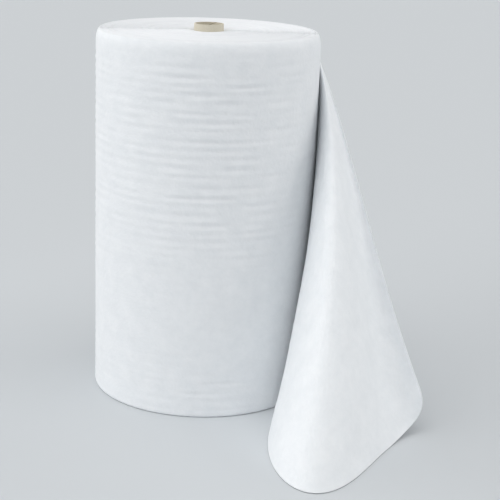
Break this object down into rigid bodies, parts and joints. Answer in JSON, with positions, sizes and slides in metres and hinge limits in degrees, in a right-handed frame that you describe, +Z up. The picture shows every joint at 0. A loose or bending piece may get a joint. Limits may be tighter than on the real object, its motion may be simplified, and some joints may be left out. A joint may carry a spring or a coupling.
{
  "type": "foam wrap roll",
  "caption": "Roll of white polyethylene foam wrap standing on end on its paper core, with the loose end of the web let down to the floor beside it.",
  "frame": {"origin": "centre of the core's bore at the base, on the surface that the roll stands on", "axes": "+Z up along the core's bore; -Y towards the front of the picture; +X towards the side on which the loose end lies"},
  "size_m": [0.9421, 1.0914, 1.066],
  "materials": {
    "foam": "satin",
    "core_paper": "matte"
  },
  "bodies": {
    "root": {"foam_roll": "foam", "core_tube": "core_paper"}
  },
  "joints": []
}
